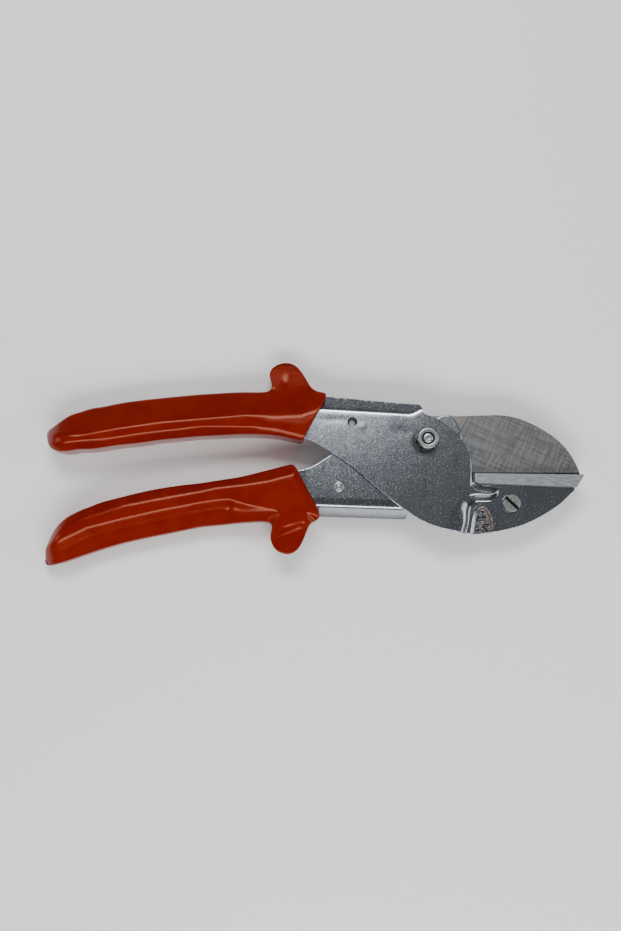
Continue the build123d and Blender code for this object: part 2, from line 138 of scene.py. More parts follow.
def inside(x, y, polygon):
    """True where (x, y) lies in the polygon."""
    starts, ends = segments(polygon)
    odd = np.zeros(np.shape(x), bool)
    for (ax, ay), (bx, by) in zip(starts, ends):
        crosses = (ay > y) != (by > y)
        at = ax + (y - ay) * (bx - ax) / (by - ay + 1e-15)
        odd ^= crosses & (x < at)
    return odd


def smooth_line(points, step=0.6):
    """Points along a smooth curve through the given ones (centripetal Catmull-Rom)."""
    pts = [np.array(p, float) for p in points]
    pts = [2 * pts[0] - pts[1]] + pts + [2 * pts[-1] - pts[-2]]
    out = []
    for a, b, c, d in zip(pts, pts[1:], pts[2:], pts[3:]):
        t0 = 0.0
        t1 = t0 + math.sqrt(np.linalg.norm(b - a))
        t2 = t1 + math.sqrt(np.linalg.norm(c - b))
        t3 = t2 + math.sqrt(np.linalg.norm(d - c))
        count = max(2, int(np.linalg.norm(c - b) / step))
        for t in np.linspace(t1, t2, count, endpoint=False):
            ab = a * (t1 - t) / (t1 - t0) + b * (t - t0) / (t1 - t0)
            bc = b * (t2 - t) / (t2 - t1) + c * (t - t1) / (t2 - t1)
            cd = c * (t3 - t) / (t3 - t2) + d * (t - t2) / (t3 - t2)
            abc = ab * (t2 - t) / (t2 - t0) + bc * (t - t0) / (t2 - t0)
            bcd = bc * (t3 - t) / (t3 - t1) + cd * (t - t1) / (t3 - t1)
            out.append(abc * (t2 - t) / (t2 - t1) + bcd * (t - t1) / (t2 - t1))
    out.append(pts[-2])
    return np.array(out)


def straight(a, b, step=0.6):
    """Points along a straight line."""
    a, b = np.array(a, float), np.array(b, float)
    count = max(2, int(np.linalg.norm(b - a) / step) + 1)
    return np.array([a + (b - a) * t for t in np.linspace(0, 1, count)])


def arc(centre, radius, start, end, step=0.6):
    """Arc from one angle to another, in degrees."""
    count = max(3, int(abs(math.radians(end - start)) * radius / step) + 1)
    angles = np.radians(np.linspace(start, end, count))
    return np.column_stack([centre[0] + radius * np.cos(angles), centre[1] + radius * np.sin(angles)])


def circle(centre, radius, count):
    """Points round a circle. The radius may also be one for each point."""
    angles = np.linspace(0, 2 * math.pi, count, endpoint=False)
    return np.column_stack([centre[0] + radius * np.cos(angles), centre[1] + radius * np.sin(angles)])


def joined(*pieces):
    """One closed loop from pieces that follow each other, without doubled points, anticlockwise."""
    pts = np.vstack(pieces)
    keep = [pts[0]]
    for p in pts[1:]:
        if np.linalg.norm(p - keep[-1]) > DOUBLED:
            keep.append(p)
    if np.linalg.norm(keep[0] - keep[-1]) < DOUBLED:
        keep.pop()
    loop = np.array(keep)
    after = np.roll(loop, -1, axis=0)
    area = np.sum(loop[:, 0] * after[:, 1] - after[:, 0] * loop[:, 1]) / 2
    return loop if area > 0 else loop[::-1]


def even(loop, step, smoothing=3):
    """A closed loop sampled again at an even spacing, with its corners rounded a little."""
    closed = np.vstack([loop, loop[:1]])
    run = np.concatenate([[0], np.cumsum(np.linalg.norm(np.diff(closed, axis=0), axis=1))])
    count = max(8, int(run[-1] / step))
    at = np.linspace(0, run[-1], count, endpoint=False)
    out = np.column_stack([np.interp(at, run, closed[:, 0]), np.interp(at, run, closed[:, 1])])
    for _ in range(smoothing):
        out = (np.roll(out, 1, axis=0) + 2 * out + np.roll(out, -1, axis=0)) / 4
    return out


def inward(loop):
    """Unit normals of an anticlockwise loop that point into it."""
    along = np.roll(loop, -1, axis=0) - np.roll(loop, 1, axis=0)
    along /= np.linalg.norm(along, axis=1)[:, None] + 1e-12
    return np.column_stack([-along[:, 1], along[:, 0]])


# ---------------------------------------------------------------- height fields

def follow(points):
    """Y as a function of x along a line given from left to right."""
    xs, ys = zip(*points)
    return lambda x: np.interp(x, xs, ys)


def eased(t):
    """0 up to t = 0, 1 from t = 1, and smooth between them."""
    t = np.clip(t, 0, 1)
    return t * t * (3 - 2 * t)


def ramp(x, start, end):
    """0 before the start, 1 past the end, and smooth between them."""
    return eased((x - start) / (end - start))


def hump(distance, width):
    """1 at no distance, falling away over the width."""
    return np.exp(-(distance / width) ** 2)


def bell(x, y, cx, cy, rx, ry):
    """1 at a point, falling away over a half width and a half height."""
    return np.exp(-((x - cx) / rx) ** 2 - ((y - cy) / ry) ** 2)


def dented(x, y, dents):
    """Depth of dents given as x, y, half width, half height and depth. A negative depth is a rise."""
    return sum(depth * bell(x, y, *spot) for *spot, depth in dents)


def softmin(values, width):
    """Smooth minimum: the corners between the surfaces are rounded over about the width."""
    low = np.minimum.reduce(values)
    total = sum(np.exp(-(v - low) / width) for v in values)
    return low - width * np.log(total)


def softmax(values, width):
    return -softmin([-v for v in values], width)


def softened(height, radius):
    """The height averaged over a small disc, which rounds its creases."""
    offsets = [(0, 0), *circle((0, 0), radius / 2, 6), *circle((0, 0), radius, 10)]
    return lambda x, y: sum(height(x + dx, y + dy) for dx, dy in offsets) / len(offsets)


# ---------------------------------------------------------------- meshes

def new_object(name, vertices, faces):
    """Smooth mesh object from millimetre points about the pivot."""
    mesh = bpy.data.meshes.new(name)
    points = np.asarray(vertices, float) * MM + PIVOT
    mesh.from_pydata([tuple(p) for p in points], [], [tuple(int(i) for i in f) for f in faces])
    mesh.validate()
    mesh.polygons.foreach_set("use_smooth", [True] * len(mesh.polygons))
    mesh.update()
    obj = bpy.data.objects.new(name, mesh)
    bpy.context.scene.collection.objects.link(obj)
    return obj


class Skin:
    """The points and faces of one closed mesh, gathered part by part."""

    def __init__(self):
        self.points = []
        self.faces = []

    def add(self, points):
        """Adds points and gives the number of the first."""
        first = sum(len(part) for part in self.points)
        self.points.append(points)
        return first

    def patch(self, tris, first, flip=False):
        """Adds triangles between points that are counted from the first."""
        self.faces += [tuple((t + first)[::-1] if flip else t + first) for t in tris]

    def chain(self, rings, count, flip=False):
        """Joins each ring to the next. A ring is count points, given by the number of its first."""
        for a, b in zip(rings, rings[1:]):
            for i in range(count):
                j = (i + 1) % count
                quad = (a + i, a + j, b + j, b + i)
                self.faces.append(quad[::-1] if flip else quad)

    def build(self, name):
        return new_object(name, np.vstack(self.points), self.faces)


def plan_mesh(edge, holes, spacing):
    """Triangulates the inside of a loop, less the holes, with points on a hexagonal grid.

    spacing is a function of x that gives the distance between the points."""
    low, high = edge.min(axis=0), edge.max(axis=0)
    columns = []
    x = low[0]
    while x < high[0]:
        gap = spacing(x)
        start = low[1] + (gap / 2 if len(columns) % 2 else 0)
        ys = np.arange(start, high[1], gap)
        columns.append(np.column_stack([np.full(len(ys), x), ys]))
        x += gap * ROW
    pts = np.vstack(columns)
    x, y = pts.T
    clear = 0.45 * np.array([spacing(each) for each in x])
    keep = inside(x, y, edge) & (distance_to(x, y, edge, True) > clear)
    for hole in holes:
        keep &= ~inside(x, y, hole) & (distance_to(x, y, hole, True) > 0.3)
    rings = [edge, *holes]
    flat = np.vstack(rings + [pts[keep]])
    edges = []
    first = 0
    for ring in rings:
        n = len(ring)
        edges += [(first + i, first + (i + 1) % n) for i in range(n)]
        first += n
    out, _, faces, _, _, _ = delaunay_2d_cdt([Vector(p) for p in flat], edges, [], 0, 1e-7)
    if len(out) != len(flat):
        raise RuntimeError("the outline crosses itself")
    tris = np.array(faces)
    x, y = flat[tris].mean(axis=1).T
    keep = inside(x, y, edge)
    for hole in holes:
        keep &= ~inside(x, y, hole)
    return flat, tris[keep]


def store(obj, name, function):
    """Keeps a function of (x, y) on the mesh as an attribute that a material can read."""
    mesh = obj.data
    points = np.empty(len(mesh.vertices) * 3)
    mesh.vertices.foreach_get("co", points)
    x, y, _ = ((points.reshape(-1, 3) - PIVOT) / MM).T
    attribute = mesh.attributes.new(name, "FLOAT", "POINT")
    attribute.data.foreach_set("value", np.asarray(function(x, y), np.float32))


def normals_of(height, x, y, h=0.05):
    """Unit normals of the surface z = height(x, y)."""
    gx = (height(x + h, y) - height(x - h, y)) / (2 * h)
    gy = (height(x, y + h) - height(x, y - h)) / (2 * h)
    n = np.stack([-gx, -gy, np.ones_like(gx)], axis=-1)
    return n / np.linalg.norm(n, axis=-1)[..., None]


def quarter_round(radius, steps=3):
    """(inset, drop) pairs from the side of an edge to its face."""
    angles = np.linspace(0, math.pi / 2, steps + 1)
    return [(radius * (1 - math.cos(a)), radius * (1 - math.sin(a))) for a in angles]


def pressed_sheet(name, outline, height, front_round, holes):
    """Sheet metal of even thickness whose front face is z = height(x, y) inside the outline."""
    # the last ring lies flat in the face, just inside the rounding
    front = quarter_round(front_round - 0.1) + [(front_round, 0.0)]
    back = quarter_round(BACK_ROUND)
    skin = Skin()

    def add(xy, drop):
        x, y = xy.T
        return skin.add(np.column_stack([xy, height(x, y)]) - normals_of(height, x, y) * drop)

    rims = [(outline, inward(outline))] + [(hole, -inward(hole)) for hole in holes]
    firsts = []
    for rounding, drop in ((front, 0.0), (back, SHEET)):
        edge, *inner = [loop + normal * rounding[-1][0] for loop, normal in rims]
        flat, tris = plan_mesh(edge, inner, sheet_spacing)
        firsts.append(add(flat, drop))
        skin.patch(tris, firsts[-1], flip=rounding is back)
    top, bottom = firsts
    for loop, normal in rims:
        rings = [top]
        rings += [add(loop + normal * inset, drop) for inset, drop in front[-2::-1]]
        rings += [add(loop + normal * inset, SHEET - drop) for inset, drop in back[:-1]]
        rings.append(bottom)
        skin.chain(rings, len(loop), flip=loop is outline)
        top += len(loop)
        bottom += len(loop)
    return skin.build(name)


# ---------------------------------------------------------------- the handles' pressed steel

def folded(u, bend, radius):
    """Drop of the front face at a distance u past a fold line."""
    reach = radius * math.sin(bend)
    on_bend = radius - np.sqrt(radius**2 - np.clip(u, 0, reach) ** 2)
    return on_bend + np.clip(u - reach, 0, None) * math.tan(bend)


def in_grip(x):
    """0 in the open part of a handle, 1 well inside its grip."""
    return ramp(-x, 46.0, 54.0)


def upper_fold(x):
    """Y of the upper handle's fold line. Near its right end it runs up and out of the flange."""
    bent = np.clip(-41.0 - x, 0, None)
    line = 8.333 - 0.0516 * x - 0.0014 * bent**2
    return line + 2.3 * ramp(x, -7.0, -1.0) - 1.2 * in_grip(x)


def lower_fold(x):
    """Y of the lower handle's fold line."""
    bent = np.clip(-43.0 - x, 0, None)
    return -26.335 - 0.0327 * x - 0.00198 * bent**2 + 1.2 * in_grip(x)


def anvil_under(x):
    """Y of the anvil's lower edge."""
    return -17.0 - 0.038 * (x - ANVIL_LEFT)


# The press work sinks the plate from the disc to the jaw. The crease is where it begins to sink, the
# crest is the top of the step, and the foot is where the flat jaw begins. Each runs down the plate.
# The pocket is a dent at its lower edge.
CREST = [(17.6, FAR), (17.7, -12.1), (17.6, -16.5), (17.4, -18.0), (18.4, -19.5), (20.6, -20.6),
         (25.0, -21.2), (25.6, -21.7), (24.9, -22.1), (18.9, -22.0), (16.8, -22.8), (15.2, -24.7),
         (14.4, -27.2), (14.3, -32.6), (13.2, -36.0), (9, -FAR)]
CREASE = CREST[:10] + [(16.8, -21.7), (14.5, -23.0), (12.5, -24.9), (11.0, -26.6), (9.4, -29.2),
                       (8.3, -31.4), (7.2, -34.4), (-2, -FAR)]
FOOT = [(20.6, FAR), (20.6, -16.6), (22.5, -17.9), (25.6, -18.1), (28.4, -18.8), (29.2, -20.2),
        (28.0, -22.8), (25.2, -24.4), (19.6, -24.6), (17.9, -26.4), (17.2, -29.0), (16.7, -33),
        (15.6, -37), (10, -FAR)]
POCKET = [(17.7, -33.0), (18.0, -30.9), (18.9, -28.4), (20.6, -26.7), (22.4, -26.0), (24.1, -26.8),
          (25.6, -29.0), (26.3, -31.3), (26.6, -34.0), (26.6, -FAR), (16.6, -FAR), (17.2, -36)]
# x, y, half width, half height and depth of the shallow dents in the upper plate
PLATE_DENTS = [(-25.6, 4.9, 1.5, 1.1, -0.05), (-36.0, 7.6, 7.0, 1.2, 0.05), (-9.0, 3.0, 5.0, 2.0, 0.05)]


def left_of(line):
    """The part of the plate left of a line that runs down it, as a polygon."""
    return list(line) + [(FAR_LEFT, -FAR), (FAR_LEFT, FAR)]


def between(x, y, first, second):
    """0 left of the first line, 1 right of the second, and the share of the way between them."""
    a = distance_to(x, y, first)
    b = distance_to(x, y, second)
    t = a / (a + b + 1e-6)
    t = np.where(inside(x, y, left_of(first)), 0.0, t)
    return np.where(inside(x, y, left_of(second)), t, 1.0)


def upper_raw(x, y):
    """The upper plate's front face before its fold, with sharp creases."""
    bulge = between(x, y, CREASE, CREST)
    z = UPPER_FRONT - BULGE_DROP * (0.4 * bulge + 0.6 * bulge**2)
    z -= STEP_DROP * eased(between(x, y, CREST, FOOT))
    depth = distance_to(x, y, POCKET, True)
    within = inside(x, y, POCKET)
    z -= np.where(within, POCKET_DEPTH * eased(depth / POCKET_WALL), 0.0)
    raised_rim = 0.10 * hump(depth, 0.8) * (x > 12)
    return z + np.where(within, 0.0, raised_rim)


upper_pressed = softened(upper_raw, 0.45)


def upper_height(x, y):
    fold = folded(y - upper_fold(x), UPPER_BEND, UPPER_BEND_R)
    return upper_pressed(x, y) - fold - dented(x, y, PLATE_DENTS) - GRIP_SINK * in_grip(x)


def lower_height(x, y):
    past = lower_fold(x) - y
    tilt = 0.07 * np.clip(y - 3.0, 0, None) * ramp(x, 0.0, 4.0)
    step = 0.3 * ramp(past, -1.4, -0.5)
    fold = folded(past, LOWER_BEND, LOWER_BEND_R)
    return LOWER_FRONT - fold - tilt - step - GRIP_SINK * in_grip(x)


def rust(x, y):
    """Share of rust: a crescent in the pocket and a stain under the end of the anvil."""
    depth = distance_to(x, y, POCKET, True)
    crescent = hump(depth - 1.0, 1.1) * ramp(x, 20.0, 23.0) * ramp(y, -36.8, -34.0)
    top = hump(depth - 0.9, 0.9) * ramp(y, -31.5, -28.5)
    dust = 0.62 * ramp(depth, 0.2, 1.2)
    stain = 0.9 * bell(x, y, 21.2, -17.4, 1.3, 0.5)
    return np.where(inside(x, y, POCKET), np.maximum.reduce([crescent, top, dust]), stain)


def shade_and_stain(x, y):
    """Share of painted shadow round the pivot nut and under the anvil, and painted shade on the step's
    wall, in the pocket and at the hole.
    """
    below_left = 0.5 + 0.5 * ramp(-x - y, -2.0, 5.0)
    nut = hump(np.hypot(x + 0.7, y + 0.7) - 4.6, 0.9) * below_left
    wall = between(x, y, CREST, FOOT)
    step = np.where((wall > 0.25) & (wall < 1), np.sin(math.pi * wall), 0.0) * ramp(-y, 17.0, 19.0)
    anvil = hump(anvil_under(x) - y, 0.35) * (x > 19)
    pocket = np.where(inside(x, y, POCKET), ramp(distance_to(x, y, POCKET, True), 0.3, 1.4), 0.0)
    past_rim = np.hypot(x - CATCH_HOLE[0], y - CATCH_HOLE[1]) - CATCH_HOLE_R
    hole = ramp(past_rim, 0.36, 0.1)
    return np.clip(0.8 * nut + 0.75 * step + 0.7 * anvil + 0.5 * pocket + hole, 0, 1)


def flange_shade(x, y):
    """Share of painted shade: two dark lines along the lower handle's fold and a darkening towards the edge
    of its flange.
    """
    past = lower_fold(x) - y
    above_fold = 0.5 * hump(past + 0.9, 0.6)
    on_fold = 0.5 * hump(past - 1.1, 0.3)
    return above_fold + on_fold + 0.75 * ramp(past, 2.6, 5.4)


def upper_outline():
    """The upper plate's edge: the flange, the disc, the neck, the jaw and the part in the grip."""
    left, low = -135.5, (-134.0, -1.2)
    flange_x = np.arange(left, -41.0, 1.2)
    flange = np.column_stack([flange_x, upper_fold(flange_x) + UPPER_FLANGE])
    tail = smooth_line([low, (-136.6, 1.0), (-136.9, 4.5), (left, 7.1)])
    disc_start = math.degrees(math.acos((-1.2 - DISC[0]) / DISC_R))
    neck = 17.7
    disc_end = math.degrees(math.acos((neck - DISC[0]) / DISC_R))
    corner = (17.6, anvil_under(17.6))
    jaw_end = 58.4
    jaw = smooth_line([
        (jaw_end, -18.5), (59.5, -18.7), (59.6, -19.3), (58.8, -20.1), (57.0, -21.7), (53.1, -25.3),
        (45.0, -30.4), (37.0, -34.0), (29.0, -36.1), (24.0, -36.8), (20.4, -37.2), (16.0, -37.1),
        (12.5, -36.5), (4.7, -34.9), (-3.1, -31.8), (-12.0, -25.75)])
    under = smooth_line([(-30.4, -10.1), (-37.1, -5.6), (-48.0, 0.3), (-66.0, 4.3), (-90.0, 3.9),
                         (-115.0, 1.3), low])
    return joined(
        flange, straight((-41.0, 18.0), (-2.3, 14.5)), straight((-2.3, 14.5), (-1.5, 12.8)),
        straight((-1.5, 12.8), (-1.25, 10.6)), arc(DISC, DISC_R, disc_start, disc_end),
        straight((neck, -12.0), corner), straight(corner, (jaw_end, anvil_under(jaw_end))), jaw,
        straight((-12.0, -25.75), (-30.4, -10.1)), under, tail)


def lower_outline():
    """The lower plate's edge: the flange, the round head with its shoulder, and the top."""
    right = (-7.0, -26.3)
    flange_x = np.arange(-7.2, -136.0, -1.0)
    flange = np.column_stack([flange_x, lower_fold(flange_x) - LOWER_FLANGE])
    side = smooth_line([right, (-3.5, -22.5), (0.0, -18.5), (9.26, -11.03)])
    head = arc((0, 0), HEAD_R, -50, 46)
    shoulder = smooth_line([(10.0, 10.35), (9.2, 10.3), (6.4, 9.95), (5.3, 9.4), (4.6, 8.9), (-2.0, 8.1)])
    top = smooth_line([(-2.0, 8.1), (-12.0, 7.0), (-24.0, 2.2), (-37.0, -5.4), (-46.2, -10.9),
                       (-52.0, -12.3), (-73.6, -16.6), (-89.0, -19.1), (-105.0, -21.6), (-120.0, -25.3),
                       (-131.0, -29.2), (-136.0, -35.0), (-137.0, -42.0)])
    return joined(flange[::-1], straight(flange[0], right), side, head, shoulder, top)


def sheet_spacing(x):
    """Coarse inside the grips, fine at the press work of the jaw."""
    if x < -60:
        return 2.5
    return 0.34 if 5 < x < 32 else 0.7


def build_plates():
    upper = pressed_sheet("upper_plate", even(upper_outline(), 0.55), upper_height, 0.35,
                          [circle(CATCH_HOLE, CATCH_HOLE_R, 36)])
    lower = pressed_sheet("lower_plate", even(lower_outline(), 0.6), lower_height, 0.6,
                          [circle((0, 0), BORE_R, 48)])
    store(upper, "rust", rust)
    # painted shade and painted shadows on both plates, kept for their material
    store(upper, "shade_and_stain", shade_and_stain)
    store(lower, "shade_and_stain", flange_shade)
    for plate, body, node in ((upper, UPPER, "upper_handle"), (lower, LOWER, "lower_handle")):
        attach(plate, body)
        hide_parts(node)
    return upper, lower


# ---------------------------------------------------------------- the grips

def pillow(name, outline, front, back):
    """Solid between two height fields, with rounded rims."""
    rims = [(inset, drop, front) for inset, drop in quarter_round(GRIP_ROUND, 6)]
    rims_back = [(inset, -drop, back) for inset, drop in quarter_round(GRIP_BACK_ROUND, 4)]
    normal = inward(outline)
    skin = Skin()

    def add(xy, height, drop=0.0):
        x, y = xy.T
        return skin.add(np.column_stack([xy, height(x, y) - drop]))

    flat, tris = plan_mesh(outline + normal * rims[-1][0], [], grip_spacing)
    flat_back, tris_back = plan_mesh(outline + normal * rims_back[-1][0], [], lambda x: 2.2)
    top = add(flat, front)
    bottom = add(flat_back, back)
    skin.patch(tris, top)
    skin.patch(tris_back, bottom, flip=True)
    rings = [top]
    for inset, drop, height in rims[-2::-1] + rims_back[:-1]:
        rings.append(add(outline + normal * inset, height, drop))
    skin.chain(rings + [bottom], len(outline), flip=True)
    return skin.build(name)


# the edges of the upper grip's flat front face
UPPER_RIDGE = follow([(-150, 2.0), (-143, 0.6), (-135.6, 0.9), (-119.5, 3.9), (-104.0, 6.2), (-89.2, 7.5),
                      (-71.2, 9.1), (-63.0, 8.9), (-57.0, 8.8), (-50.0, 9.2), (-43.0, 11.6), (-38, 14)])
UPPER_CORNER = follow([(-150, -3.0), (-143, -1.9), (-135.2, -1.0), (-126.7, -0.4), (-111.7, 2.0),
                       (-92.6, 4.3), (-87.2, 4.8), (-69.2, 4.8), (-59.0, 3.7), (-51.2, 1.8), (-44.0, -0.2)])
# x, y, half width, half height and depth of the dents round the finger stop
UPPER_DENTS = [(-55.8, 23.4, 1.5, 2.6, 0.30), (-54.0, 23.2, 1.0, 3.0, -0.12), (-62.4, 19.6, 1.8, 1.6, 0.7)]


def grip_end(x, left):
    """Rounds the closed end of a grip down towards its tip at x = left."""
    t = np.clip((left + GRIP_END_LENGTH - x) / GRIP_END_LENGTH, 0, 1)
    return GRIP_END_DROP * t**3.2


def upper_grip_front(x, y):
    """The flat face, the slope above it, the chamfer below it and the finger stop."""
    ridge = UPPER_RIDGE(x)
    near_stop = ramp(x, -72, -58)
    slope = UPPER_FACE - math.tan(math.radians(36)) * (y - ridge)
    stop = 0.3 - 0.35 * (y - 20)
    held = ramp(x, -67.0, -62.6) * (1 - ramp(x, -47.0, -42.0))
    slope = slope * (1 - held) + softmax([slope, stop], 0.8) * held
    chamfer = UPPER_FACE - 0.95 * (UPPER_CORNER(x) - y)
    face = UPPER_FACE - 0.03 * np.abs(y - ridge)
    z = softmin([slope, face, chamfer], 0.224 + 0.6 * near_stop) + 0.4 * near_stop
    wrinkles = 0.10 * np.sin(0.55 * x) * bell(x, y, -62.0, 9.5, 8.0, 2.2)
    return z + wrinkles - dented(x, y, UPPER_DENTS) - grip_end(x, -150.3)


def upper_grip_back(x, y):
    stop = ramp(y, 19.0, 20.5) * ramp(x, -66, -62)
    return GRIP_BACK + 5.0 * stop + 0.5 * grip_end(x, -149.4)


# the upper edge of the lower grip's flat front face, and its ridges left and right of the finger stop
LOWER_TOP_CORNER = follow([(-149, -43), (-143.7, -37.4), (-134.9, -31.9), (-119.2, -26.8),
                           (-107.6, -24.4), (-89.0, -21.0), (-82.8, -19.6), (-71.1, -18.2),
                           (-62.9, -16.9), (-53.1, -14.3), (-46, -12.5)])
LOWER_RIDGE = [(-155, -46), (-144.3, -40.3), (-132.9, -34.8), (-119.1, -31.2), (-103.7, -27.7),
               (-89.0, -24.9), (-82.0, -23.8), (-77.5, -23.6), (-75.0, -24.4), (-69.1, -26.0),
               (-62.9, -27.1), (-59.0, -27.8), (-57.6, -28.9), (-58.4, -32.2), (-60.5, -40), (-60.5, -80)]
LOWER_RIDGE_END = [(-48.0, -80), (-48.0, -38), (-47.6, -32.2), (-48.0, -29.3), (-46.9, -28.7),
                   (-42.4, -28.8), (-30, -29.2)]
STOP_FOLDS = [[(-55.8, -33.7), (-48.9, -32.0)], [(-58.4, -37.6), (-54.4, -36.0), (-50.0, -34.2)]]
STOP_CREASE = [(-59.0, -39.4), (-57.5, -41.5), (-54.7, -42.5), (-52.0, -41.5), (-50.3, -38.6)]
LOWER_DENTS = [(-78.0, -27.0, 1.5, 1.6, 0.35), (-76.6, -28.0, 2.4, 0.9, -0.18),
               (-66.0, -28.8, 8.0, 1.0, -0.25), (-55.0, -39.0, 3.4, 1.6, 0.12)]
# the slanting open end of the lower grip, from its upper to its lower corner
LOWER_END = np.array([(-52.4, -9.5), (-42.2, -30.5)])


def past_ridge(x, y):
    """Distance below the ridge of the lower grip, which runs round the finger stop."""
    left = LOWER_RIDGE + [(FAR_LEFT, -80), (FAR_LEFT, -46)]
    right = LOWER_RIDGE_END + [(-30, -80)]
    past_left = distance_to(x, y, LOWER_RIDGE) * np.where(inside(x, y, left), 1, -1)
    past_right = distance_to(x, y, LOWER_RIDGE_END) * np.where(inside(x, y, right), 1, -1)
    return np.maximum(past_left, past_right)


def lower_grip_front(x, y):
    """The flat face with the finger stop, and the slopes on its three sides."""
    past = past_ridge(x, y)
    slope = LOWER_FACE - 0.78 * past
    chamfer = LOWER_FACE - 0.62 * (y - LOWER_TOP_CORNER(x))
    end = LOWER_FACE - 0.55 * (distance_past_end(x, y) + 2.2)
    sinking = LOWER_FACE - 0.30 * (-31.0 - y) - 0.08 * (x + 53)
    level = 3.4 + 0.05 * (y + 38) - 0.05 * (x + 54)
    stop = softmax([sinking, level], 0.2)
    face = softmin([np.full(np.shape(x), LOWER_FACE), stop], 0.3)
    z = softmin([face, slope, chamfer, end], 0.24) + 0.12 * hump(past - 3.9, 0.8)
    z -= dented(x, y, LOWER_DENTS) + 0.14 * hump(distance_to(x, y, STOP_CREASE), 0.5)
    for fold in STOP_FOLDS:
        z += 0.15 * hump(distance_to(x, y, fold), 0.8)
    return z - grip_end(x, -150.4)


def distance_past_end(x, y):
    """Signed distance beyond the slanting end of the lower grip."""
    start, end = LOWER_END
    along = (end - start) / np.linalg.norm(end - start)
    return (x - start[0]) * -along[1] + (y - start[1]) * along[0]


def lower_grip_back(x, y):
    stop = ramp(-y, 33.0, 35.0) * ramp(x, -66, -62)
    return GRIP_BACK + 4.2 * stop + 0.4 * grip_end(x, -148.6)


def upper_grip_outline():
    tip, corner = (-150.4, 2.6), (-40.1, 15.8)
    top = smooth_line([tip, (-149.6, 4.1), (-147.8, 4.6), (-145.9, 5.9), (-143.6, 7.9), (-141.0, 9.8),
                       (-137.0, 11.3), (-133.0, 12.8), (-129.0, 13.4), (-121.5, 15.0), (-113.5, 16.2),
                       (-105.5, 17.1), (-97.7, 17.9), (-89.7, 18.7), (-81.8, 19.2), (-73.9, 19.6),
                       (-66.5, 19.6), (-62.6, 19.8), (-61.3, 20.9), (-61.2, 22.6), (-61.6, 24.2),
                       (-62.2, 26.4), (-61.9, 28.9), (-60.6, 30.2), (-58.6, 31.4), (-56.0, 32.0),
                       (-53.4, 31.7), (-50.9, 30.2), (-48.9, 27.8), (-47.2, 24.7), (-45.6, 21.8),
                       (-43.6, 20.0), (-39.8, 18.9)])
    under = smooth_line([(-48.9, -0.9), (-50.5, -0.3), (-54.2, 0.5), (-58.0, 1.3), (-65.9, 1.9),
                         (-73.9, 1.9), (-81.8, 1.5), (-89.7, 1.1), (-97.7, 0.3), (-105.5, -0.5),
                         (-113.5, -1.7), (-121.5, -2.6), (-129.0, -3.8), (-133.0, -4.2), (-137.0, -4.3),
                         (-141.0, -5.0), (-144.4, -5.1), (-147.2, -4.2), (-149.1, -2.2), (-150.0, 0.4),
                         tip])
    return joined(top, straight((-39.3, 18.3), corner), straight(corner, (-48.2, 1.0)), under)


def lower_grip_outline():
    tip = (-150.3, -46.0)
    top = smooth_line([tip, (-149.6, -42.4), (-147.2, -37.4), (-144.9, -34.2), (-142.3, -31.7),
                       (-140.0, -30.1), (-136.0, -28.1), (-132.0, -26.6), (-128.4, -25.1),
                       (-120.6, -23.0), (-112.8, -21.0), (-105.0, -19.4), (-97.2, -18.2),
                       (-89.3, -17.3), (-81.5, -16.1), (-73.6, -14.8), (-65.7, -12.8),
                       (-58.0, -10.8), (-53.0, -9.5)])
    end = [(-52.3, -9.7), (-50.8, -12.4), (-43.7, -25.7), (-42.2, -29.3)]
    under = smooth_line([(-42.1, -31.2), (-44.0, -32.1), (-46.0, -33.3), (-47.2, -36.0), (-48.3, -38.8),
                         (-49.9, -42.1), (-51.9, -44.3), (-54.4, -45.2), (-57.0, -44.8), (-59.4, -43.5),
                         (-61.0, -41.0), (-61.6, -38.2), (-61.1, -35.6), (-60.8, -33.7), (-62.2, -32.6),
                         (-65.7, -32.4), (-73.6, -32.8), (-81.5, -33.6), (-89.3, -34.4), (-97.2, -36.0),
                         (-105.0, -37.6), (-112.8, -39.2), (-120.6, -41.1), (-128.4, -43.4),
                         (-136.0, -46.0), (-142.3, -48.2), (-146.6, -49.3), (-149.7, -49.6),
                         (-150.6, -48.3), tip])
    return joined(top, *(straight(a, b) for a, b in zip(end, end[1:])), under)


def grip_spacing(x):
    """Fine round the finger stops, coarser towards the tips."""
    return 0.5 if x > -92 else 0.85


def build_grips():
    upper_edge = even(upper_grip_outline(), 0.5, 7)
    lower_edge = even(lower_grip_outline(), 0.5, 7)
    upper = pillow("upper_grip_cover", upper_edge, upper_grip_front, upper_grip_back)
    lower = pillow("lower_grip_cover", lower_edge, lower_grip_front, lower_grip_back)
    for grip, body, node in ((upper, UPPER, "upper_grip"), (lower, LOWER, "lower_grip")):
        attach(grip, body)
        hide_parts(node)
    return upper, lower


# ---------------------------------------------------------------- fasteners

def ring_mesh(name, rings):
    """Closed skin over rings of points that run up the outside and in over the top."""
    skin = Skin()
    count = len(rings[0])
    firsts = [skin.add(ring) for ring in rings]
    skin.chain(firsts, count)
    skin.faces.append(tuple(range(count))[::-1])
    skin.faces.append(tuple(firsts[-1] + i for i in range(count)))
    return skin.build(name)


def level_ring(centre, radius, z, count=64):
    """Ring of points. The radius and z are one number, or one for each point."""
    return np.column_stack([circle(centre, radius, count), z * np.ones(count)])


def lathe(name, profile, centre=(0, 0)):
    """Turned part from the radius and z of its profile."""
    return ring_mesh(name, [level_ring(centre, max(radius, 0.01), z) for radius, z in profile])


